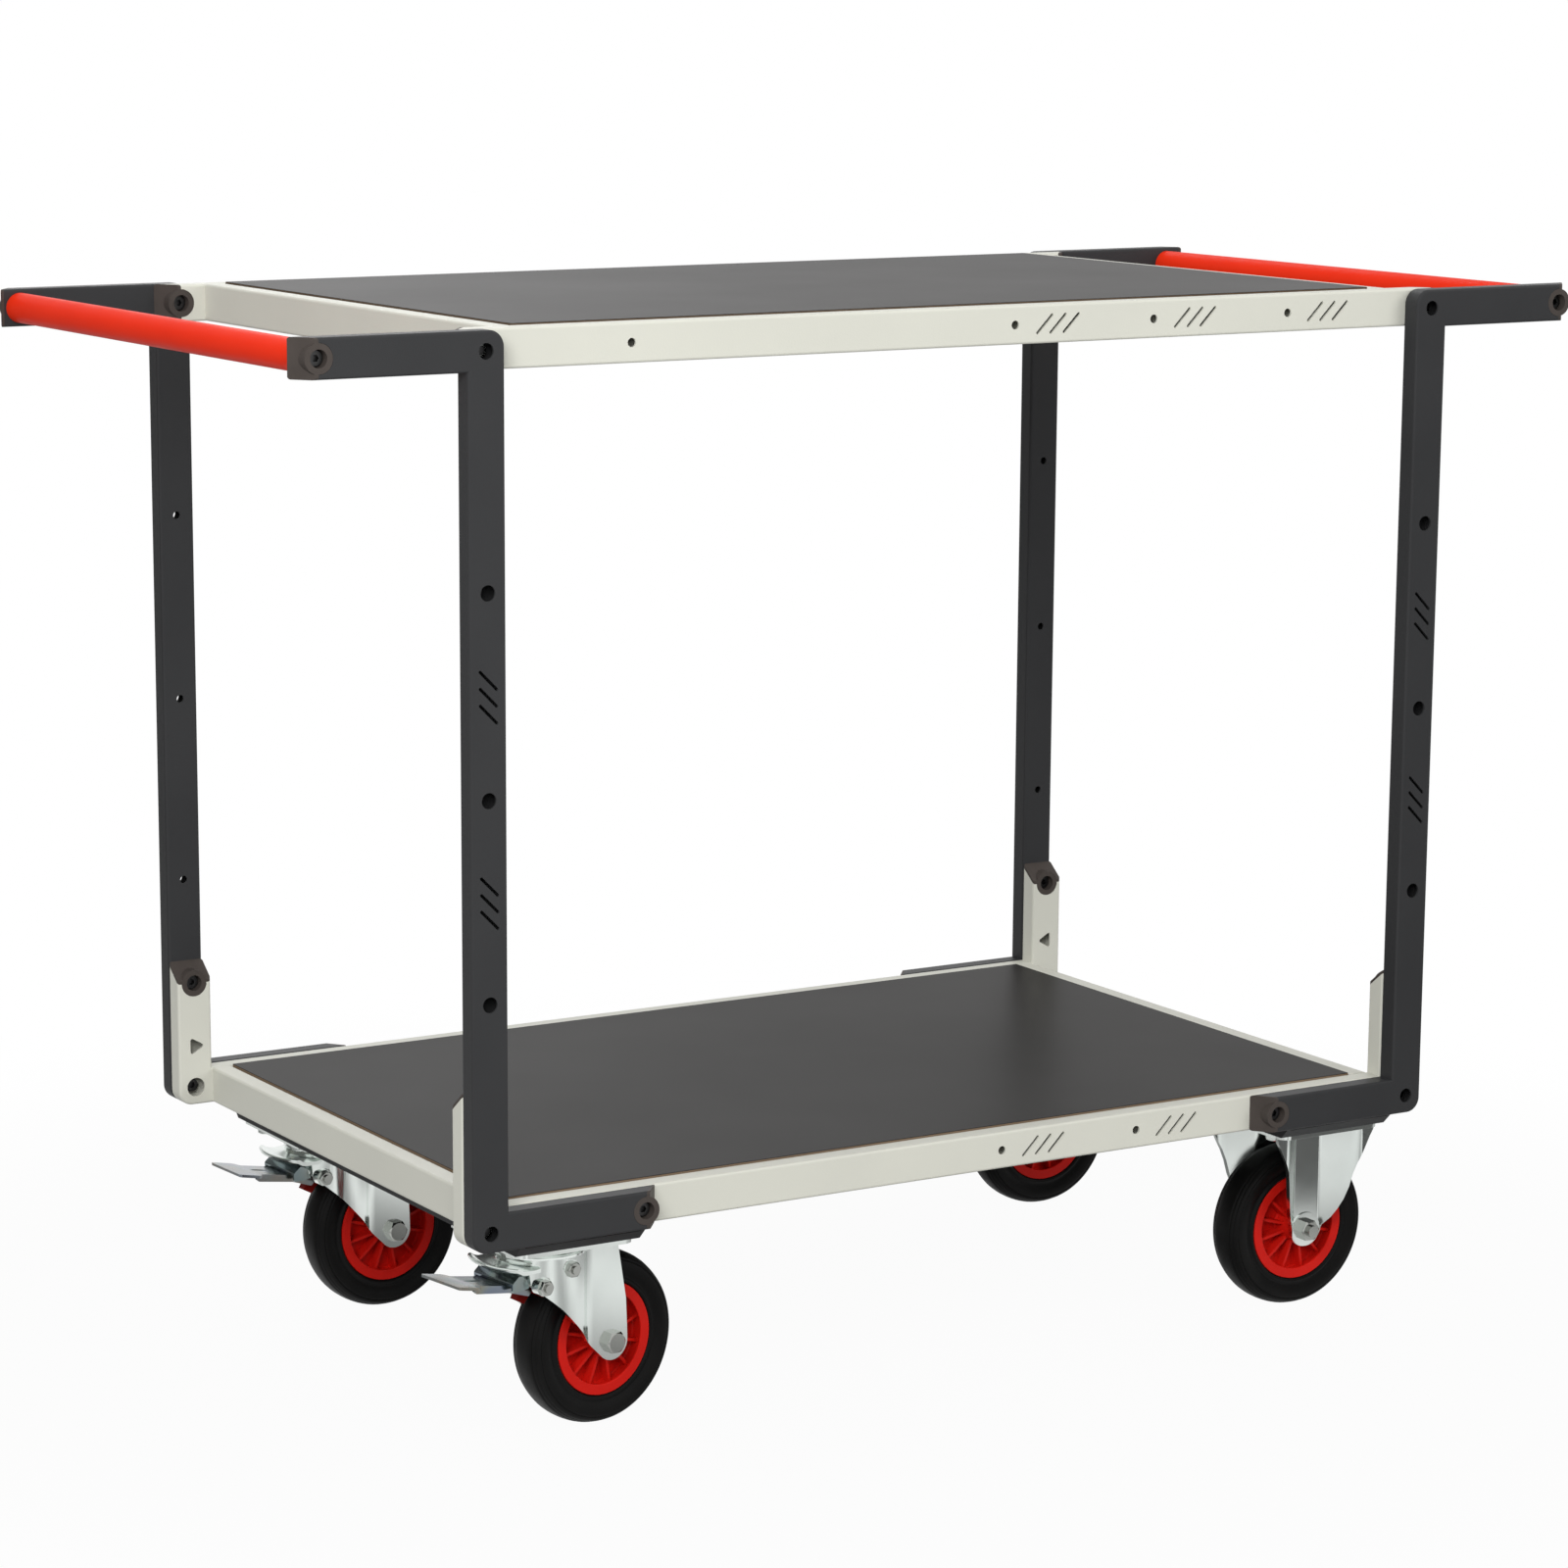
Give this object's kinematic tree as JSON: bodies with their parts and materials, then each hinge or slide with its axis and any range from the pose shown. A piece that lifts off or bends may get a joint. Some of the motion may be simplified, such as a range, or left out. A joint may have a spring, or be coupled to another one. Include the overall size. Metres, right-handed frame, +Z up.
{
  "type": "utility cart",
  "caption": "Two-shelf utility cart with side posts that bend into end arms, a round push handle at each end, two fixed and two braked swivel castors",
  "frame": {"origin": "floor point under the middle of the frame, halfway between the posts both ways", "axes": "+X along the length towards the fixed castors, +Y to the back long side, +Z up"},
  "size_m": [1.3556, 0.656, 1.0085],
  "materials": {
    "post_paint": "satin dark grey powder coat",
    "shelf_paint": "satin pale grey powder coat",
    "handle_paint": "satin red powder coat",
    "board_ply": "film faced, satin",
    "plug_plastic": "moulded, fine texture",
    "screw_steel": "dull",
    "zinc_steel": "bright zinc plate",
    "hub_plastic": "moulded, satin",
    "shoe_plastic": "moulded, matte",
    "tyre_rubber": "matte"
  },
  "bodies": {
    "frame": {"post_front_left": "post_paint", "post_front_right": "post_paint", "post_back_left": "post_paint", "post_back_right": "post_paint", "handle_left": "handle_paint", "handle_right": "handle_paint", "top_rail_front": "shelf_paint", "top_rail_back": "shelf_paint", "top_end_rail_left": "shelf_paint", "top_end_rail_right": "shelf_paint", "top_cross_bars": "shelf_paint", "top_board": "board_ply", "lower_side_front": "shelf_paint", "lower_side_back": "shelf_paint", "lower_end_rail_left": "shelf_paint", "lower_end_rail_right": "shelf_paint", "lower_cross_bars": "shelf_paint", "lower_board": "board_ply", "castor_carrier_left": "shelf_paint", "castor_carrier_right": "shelf_paint", "post_end_plugs": "plug_plastic", "shelf_end_plugs": "plug_plastic", "handle_screws": "screw_steel", "arm_screws": "screw_steel", "shelf_screws": "screw_steel", "clinch_nuts": "zinc_steel", "castor_bolts": "zinc_steel", "plate_front_left": "zinc_steel", "kingpin_front_left": "screw_steel", "plate_back_left": "zinc_steel", "kingpin_back_left": "screw_steel", "fork_front_right": "zinc_steel", "axle_front_right": "zinc_steel", "spacer_front_right": "screw_steel", "fork_back_right": "zinc_steel", "axle_back_right": "zinc_steel", "spacer_back_right": "screw_steel"},
    "castor_front_left": {"fork_front_left": "zinc_steel", "axle_front_left": "zinc_steel", "spacer_front_left": "screw_steel", "brake_pins_front_left": "zinc_steel"},
    "wheel_front_left": {"hub_front_left": "hub_plastic", "tyre_front_left": "tyre_rubber"},
    "pedal_front_left": {"brake_pedal_front_left": "zinc_steel", "release_lever_front_left": "zinc_steel"},
    "shoe_front_left": {"brake_shoe_front_left": "shoe_plastic"},
    "castor_back_left": {"fork_back_left": "zinc_steel", "axle_back_left": "zinc_steel", "spacer_back_left": "screw_steel", "brake_pins_back_left": "zinc_steel"},
    "wheel_back_left": {"hub_back_left": "hub_plastic", "tyre_back_left": "tyre_rubber"},
    "pedal_back_left": {"brake_pedal_back_left": "zinc_steel", "release_lever_back_left": "zinc_steel"},
    "shoe_back_left": {"brake_shoe_back_left": "shoe_plastic"},
    "wheel_front_right": {"hub_front_right": "hub_plastic", "tyre_front_right": "tyre_rubber"},
    "wheel_back_right": {"hub_back_right": "hub_plastic", "tyre_back_right": "tyre_rubber"}
  },
  "joints": [
    {"name": "swivel_front_left", "type": "hinge", "parent": "frame", "child": "castor_front_left", "pos_m": [-0.396, -0.219, 0.176], "axis": [0, 0, 1], "continuous": true},
    {"name": "wheel_spin_front_left", "type": "hinge", "parent": "castor_front_left", "child": "wheel_front_left", "pos_m": [-0.3383, -0.20935, 0.081], "axis": [0.165, -0.9863, 0], "continuous": true},
    {"name": "pedal_press_front_left", "type": "hinge", "parent": "castor_front_left", "child": "pedal_front_left", "pos_m": [-0.42066, -0.22313, 0.1485], "axis": [0.165, -0.9863, 0], "range_deg": [0, 14]},
    {"name": "shoe_swing_front_left", "type": "hinge", "parent": "castor_front_left", "child": "shoe_front_left", "pos_m": [-0.39403, -0.21867, 0.162], "axis": [0.165, -0.9863, 0], "range_deg": [0, 2.5]},
    {"name": "swivel_back_left", "type": "hinge", "parent": "frame", "child": "castor_back_left", "pos_m": [-0.396, 0.219, 0.176], "axis": [0, 0, 1], "continuous": true},
    {"name": "wheel_spin_back_left", "type": "hinge", "parent": "castor_back_left", "child": "wheel_back_left", "pos_m": [-0.33768, 0.22359, 0.081], "axis": [0.0785, -0.9969, 0], "continuous": true},
    {"name": "pedal_press_back_left", "type": "hinge", "parent": "castor_back_left", "child": "pedal_back_left", "pos_m": [-0.42092, 0.21704, 0.1485], "axis": [0.0785, -0.9969, 0], "range_deg": [0, 14]},
    {"name": "shoe_swing_back_left", "type": "hinge", "parent": "castor_back_left", "child": "shoe_back_left", "pos_m": [-0.39401, 0.21916, 0.162], "axis": [0.0785, -0.9969, 0], "range_deg": [0, 2.5]},
    {"name": "wheel_spin_front_right", "type": "hinge", "parent": "frame", "child": "wheel_front_right", "pos_m": [0.4465, -0.219, 0.081], "axis": [0, -1, 0], "continuous": true},
    {"name": "wheel_spin_back_right", "type": "hinge", "parent": "frame", "child": "wheel_back_right", "pos_m": [0.4465, 0.219, 0.081], "axis": [0, -1, 0], "continuous": true}
  ],
  "couplings": [
    {"joint": "shoe_swing_front_left", "follows": "pedal_press_front_left", "ratio": 0.17857},
    {"joint": "shoe_swing_back_left", "follows": "pedal_press_back_left", "ratio": 0.17857}
  ]
}
